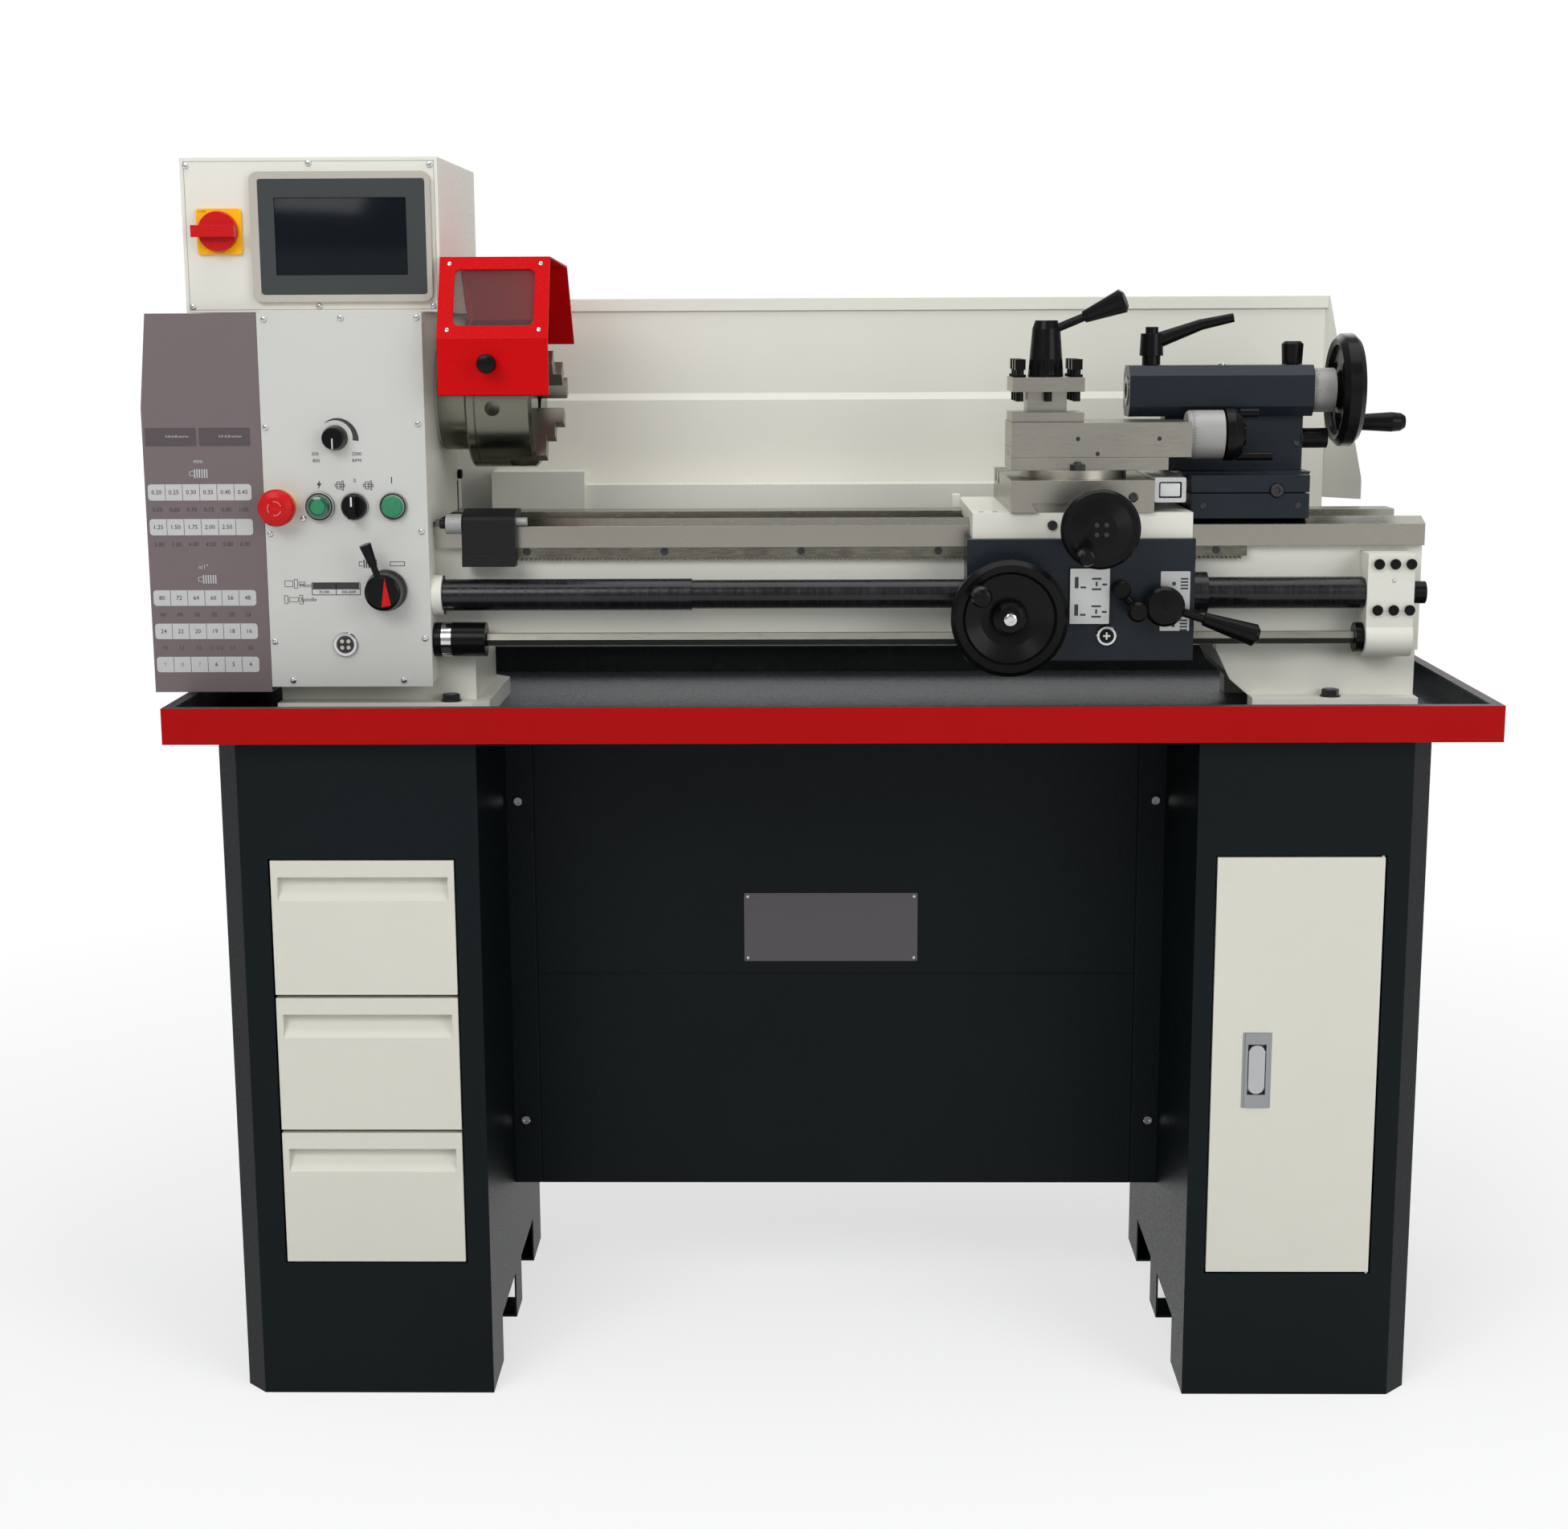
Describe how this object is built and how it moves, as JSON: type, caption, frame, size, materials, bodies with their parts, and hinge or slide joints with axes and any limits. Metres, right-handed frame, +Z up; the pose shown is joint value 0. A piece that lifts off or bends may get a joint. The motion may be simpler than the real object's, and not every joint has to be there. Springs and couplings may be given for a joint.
{
  "type": "bench lathe",
  "caption": "Bench lathe on a two-pedestal stand with chip tray, drawers, splash guard, chuck guard, four-way toolpost and tailstock; slides, wheels and levers move.",
  "frame": {"origin": "on the floor, under the spindle axis in depth and midway along the machine's length", "axes": "+X along the bed from the headstock to the tailstock, +Y away from the operator, +Z up"},
  "size_m": [1.418, 0.5274, 1.331],
  "materials": {
    "stand_paint": "dark textured paint",
    "panel_paint": "satin light grey paint",
    "cream_paint": "gloss cream paint",
    "plate": "satin light grey plate",
    "label_grey": "satin purple-grey paint",
    "slate_paint": "gloss slate blue paint",
    "guard_red": "gloss red",
    "steel": "ground and turned steel",
    "dark_steel": "blackened steel",
    "black": "satin black",
    "cover_black": "oiled black spring steel",
    "red_button": "gloss red",
    "green_button": "gloss green",
    "motor_paint": "satin dark blue paint",
    "belt_rubber": "matt black",
    "clear": "clear",
    "latch_metal": "dull zinc"
  },
  "bodies": {
    "frame": {"left_pedestal": "stand_paint", "right_pedestal": "stand_paint", "back_panel": "stand_paint", "chip_tray": "stand_paint", "bed": "cream_paint", "rack": "dark_steel", "end_bracket": "cream_paint", "splash_guard": "cream_paint", "left_cover_outer": "cover_black", "right_cover_inner": "cover_black", "headstock": "cream_paint", "control_plate": "plate", "motor": "motor_paint", "drive_belt": "belt_rubber", "control_box": "cream_paint"},
    "spindle": {"spindle": "steel", "chuck_body": "steel"},
    "layshaft": {"layshaft": "steel"},
    "change_gear": {"change_gear": "steel"},
    "feed_gear": {"feed_gear": "steel"},
    "motor_pulley": {"motor_pulley": "steel"},
    "lead_screw": {"lead_screw": "steel"},
    "feed_rod": {"feed_rod": "steel"},
    "jaw_1": {"chuck_jaw_1": "steel"},
    "jaw_2": {"chuck_jaw_2": "steel"},
    "jaw_3": {"chuck_jaw_3": "steel"},
    "chuck_guard": {"chuck_guard": "guard_red", "guard_window": "clear"},
    "end_cover": {"end_cover": "label_grey"},
    "carriage": {"saddle": "cream_paint", "apron": "slate_paint", "left_cover_inner": "cover_black", "right_cover_outer": "cover_black"},
    "carriage_handwheel": {"carriage_handwheel": "black"},
    "cross_slide": {"cross_slide": "steel"},
    "cross_handwheel": {"cross_handwheel": "black"},
    "swivel_base": {"swivel_base": "steel"},
    "top_slide": {"top_slide": "steel"},
    "top_handwheel": {"top_handwheel": "black"},
    "toolpost": {"toolpost": "steel"},
    "toolpost_lever": {"toolpost_lever": "black"},
    "feed_lever": {"feed_lever": "black"},
    "half_nut_lever": {"half_nut_lever": "black"},
    "tailstock": {"tailstock": "slate_paint"},
    "quill": {"quill": "steel"},
    "tailstock_handwheel": {"tailstock_handwheel": "black"},
    "quill_lock": {"quill_lock": "black"},
    "tailstock_clamp": {"tailstock_clamp": "black"},
    "carriage_stop": {"carriage_stop": "dark_steel"},
    "speed_knob": {"speed_knob": "black"},
    "emergency_stop": {"emergency_stop": "red_button"},
    "direction_switch": {"direction_switch": "black"},
    "start_button": {"start_button": "green_button"},
    "gear_lever": {"gear_lever": "black"},
    "isolator_knob": {"isolator_knob": "red_button"},
    "top_drawer": {"top_drawer": "panel_paint"},
    "middle_drawer": {"middle_drawer": "panel_paint"},
    "bottom_drawer": {"bottom_drawer": "panel_paint"},
    "cupboard_door": {"cupboard_door": "panel_paint"},
    "door_latch": {"door_latch": "latch_metal"}
  },
  "joints": [
    {"name": "spindle_spin", "type": "hinge", "parent": "frame", "child": "spindle", "pos_m": [-0.41, 0, 1.085], "axis": [1, 0, 0], "continuous": true},
    {"name": "layshaft_spin", "type": "hinge", "parent": "frame", "child": "layshaft", "pos_m": [-0.52, 0.062, 1.01839], "axis": [1, 0, 0], "continuous": true},
    {"name": "change_gear_spin", "type": "hinge", "parent": "frame", "child": "change_gear", "pos_m": [-0.597, -0.02569, 0.94941], "axis": [1, 0, 0], "continuous": true},
    {"name": "feed_gear_spin", "type": "hinge", "parent": "frame", "child": "feed_gear", "pos_m": [-0.61, -0.08035, 0.85], "axis": [1, 0, 0], "continuous": true},
    {"name": "motor_spin", "type": "hinge", "parent": "frame", "child": "motor_pulley", "pos_m": [-0.6, 0.166, 0.863], "axis": [1, 0, 0], "continuous": true},
    {"name": "lead_screw_spin", "type": "hinge", "parent": "frame", "child": "lead_screw", "pos_m": [0, -0.103, 0.874], "axis": [1, 0, 0], "continuous": true},
    {"name": "feed_rod_spin", "type": "hinge", "parent": "frame", "child": "feed_rod", "pos_m": [0, -0.103, 0.826], "axis": [1, 0, 0], "continuous": true},
    {"name": "jaw_1_slide", "type": "slide", "parent": "spindle", "child": "jaw_1", "axis": [0, -0.6428, 0.766], "range_m": [-0.008, 0.012]},
    {"name": "jaw_2_slide", "type": "slide", "parent": "spindle", "child": "jaw_2", "axis": [0, -0.342, -0.9397], "range_m": [-0.008, 0.012]},
    {"name": "jaw_3_slide", "type": "slide", "parent": "spindle", "child": "jaw_3", "axis": [0, 0.9848, 0.1736], "range_m": [-0.008, 0.012]},
    {"name": "chuck_guard_hinge", "type": "hinge", "parent": "frame", "child": "chuck_guard", "pos_m": [-0.388, 0.095, 1.16], "axis": [-1, 0, 0], "range_deg": [0, 80]},
    {"name": "end_cover_hinge", "type": "hinge", "parent": "frame", "child": "end_cover", "pos_m": [-0.579, 0.244, 1.045], "axis": [0, 0, -1], "range_deg": [0, 95]},
    {"name": "carriage_slide", "type": "slide", "parent": "frame", "child": "carriage", "axis": [1, 0, 0], "range_m": [-0.33, 0]},
    {"name": "carriage_handwheel_turn", "type": "hinge", "parent": "carriage", "child": "carriage_handwheel", "pos_m": [0.202, -0.17, 0.857], "axis": [0, 1, 0], "range_deg": [-6601, 0]},
    {"name": "cross_slide_slide", "type": "slide", "parent": "carriage", "child": "cross_slide", "axis": [0, 1, 0], "range_m": [-0.012, 0.006]},
    {"name": "cross_handwheel_turn", "type": "hinge", "parent": "carriage", "child": "cross_handwheel", "pos_m": [0.292, -0.18, 0.951], "axis": [0, 1, 0], "range_deg": [-1441, 721]},
    {"name": "compound_swivel", "type": "hinge", "parent": "cross_slide", "child": "swivel_base", "pos_m": [0.278, -0.062, 1], "axis": [0, 0, 1], "range_deg": [-60, 0]},
    {"name": "top_slide_slide", "type": "slide", "parent": "swivel_base", "child": "top_slide", "axis": [1, 0, 0], "range_m": [-0.023, 0.03]},
    {"name": "top_handwheel_turn", "type": "hinge", "parent": "top_slide", "child": "top_handwheel", "pos_m": [0.42, -0.062, 1.04], "axis": [1, 0, 0], "range_deg": [-4141, 5401]},
    {"name": "toolpost_turn", "type": "hinge", "parent": "top_slide", "child": "toolpost", "pos_m": [0.247, -0.062, 1.08], "axis": [0, 0, 1], "continuous": true},
    {"name": "toolpost_lever_turn", "type": "hinge", "parent": "top_slide", "child": "toolpost_lever", "pos_m": [0.247, -0.062, 1.12], "axis": [0, 0, 1], "range_deg": [-90, 60]},
    {"name": "feed_lever_turn", "type": "hinge", "parent": "carriage", "child": "feed_lever", "pos_m": [0.322, -0.145, 0.882], "axis": [0, 1, 0], "range_deg": [-14, 15]},
    {"name": "half_nut_lever_turn", "type": "hinge", "parent": "carriage", "child": "half_nut_lever", "pos_m": [0.366, -0.15, 0.866], "axis": [0, 1, 0], "range_deg": [-20, 15]},
    {"name": "tailstock_slide", "type": "slide", "parent": "frame", "child": "tailstock", "axis": [1, 0, 0], "range_m": [0, 0.12]},
    {"name": "quill_slide", "type": "slide", "parent": "tailstock", "child": "quill", "axis": [-1, 0, 0], "range_m": [0, 0.05]},
    {"name": "tailstock_handwheel_turn", "type": "hinge", "parent": "tailstock", "child": "tailstock_handwheel", "pos_m": [0.57, 0, 1.085], "axis": [-1, 0, 0], "range_deg": [0, 5999]},
    {"name": "quill_lock_turn", "type": "hinge", "parent": "tailstock", "child": "quill_lock", "pos_m": [0.368, 0, 1.12], "axis": [0, 0, 1], "range_deg": [-30, 30]},
    {"name": "tailstock_clamp_turn", "type": "hinge", "parent": "tailstock", "child": "tailstock_clamp", "pos_m": [0.524, 0.012, 1.12], "axis": [0, 0, 1], "range_deg": [0, 60]},
    {"name": "carriage_stop_slide", "type": "slide", "parent": "frame", "child": "carriage_stop", "axis": [1, 0, 0], "range_m": [0, 0.06]},
    {"name": "speed_knob_turn", "type": "hinge", "parent": "frame", "child": "speed_knob", "pos_m": [-0.505, -0.13, 1.043], "axis": [0, 1, 0], "range_deg": [0, 270]},
    {"name": "emergency_stop_push", "type": "slide", "parent": "frame", "child": "emergency_stop", "axis": [0, 1, 0], "range_m": [0, 0.004], "stiffness_N_per_m": 800, "springref_m": -0.002},
    {"name": "direction_switch_turn", "type": "hinge", "parent": "frame", "child": "direction_switch", "pos_m": [-0.487, -0.13, 0.971], "axis": [0, 1, 0], "range_deg": [-45, 45]},
    {"name": "start_button_push", "type": "slide", "parent": "frame", "child": "start_button", "axis": [0, 1, 0], "range_m": [0, 0.0025], "stiffness_N_per_m": 800, "springref_m": -0.001},
    {"name": "gear_lever_turn", "type": "hinge", "parent": "frame", "child": "gear_lever", "pos_m": [-0.456, -0.13, 0.882], "axis": [0, 1, 0], "range_deg": [-30, 60]},
    {"name": "isolator_turn", "type": "hinge", "parent": "frame", "child": "isolator_knob", "pos_m": [-0.62, -0.115, 1.256], "axis": [0, 1, 0], "range_deg": [0, 90]},
    {"name": "top_drawer_slide", "type": "slide", "parent": "frame", "child": "top_drawer", "axis": [0, -1, 0], "range_m": [0, 0.3]},
    {"name": "middle_drawer_slide", "type": "slide", "parent": "frame", "child": "middle_drawer", "axis": [0, -1, 0], "range_m": [0, 0.3]},
    {"name": "bottom_drawer_slide", "type": "slide", "parent": "frame", "child": "bottom_drawer", "axis": [0, -1, 0], "range_m": [0, 0.3]},
    {"name": "cupboard_door_hinge", "type": "hinge", "parent": "frame", "child": "cupboard_door", "pos_m": [0.5975, -0.1925, 0.373], "axis": [0, 0, 1], "range_deg": [0, 100]},
    {"name": "door_latch_lift", "type": "hinge", "parent": "cupboard_door", "child": "door_latch", "pos_m": [0.471, -0.193, 0.391], "axis": [-1, 0, 0], "range_deg": [0, 40]}
  ],
  "couplings": [
    {"joint": "layshaft_spin", "follows": "spindle_spin", "ratio": -1.6},
    {"joint": "motor_spin", "follows": "spindle_spin", "ratio": -3.4286},
    {"joint": "change_gear_spin", "follows": "spindle_spin", "ratio": -0.5},
    {"joint": "lead_screw_spin", "follows": "spindle_spin", "ratio": 2.875},
    {"joint": "feed_gear_spin", "follows": "spindle_spin", "ratio": -2.875},
    {"joint": "feed_rod_spin", "follows": "spindle_spin", "ratio": 2.875},
    {"joint": "jaw_2_slide", "follows": "jaw_1_slide", "ratio": 1},
    {"joint": "jaw_3_slide", "follows": "jaw_1_slide", "ratio": 1},
    {"joint": "carriage_handwheel_turn", "follows": "carriage_slide", "rad_per_m": 349.07},
    {"joint": "cross_handwheel_turn", "follows": "cross_slide_slide", "rad_per_m": 2094.4},
    {"joint": "top_handwheel_turn", "follows": "top_slide_slide", "rad_per_m": 3141.6},
    {"joint": "quill_slide", "follows": "tailstock_handwheel_turn", "m_per_rad": 0.00047746}
  ]
}
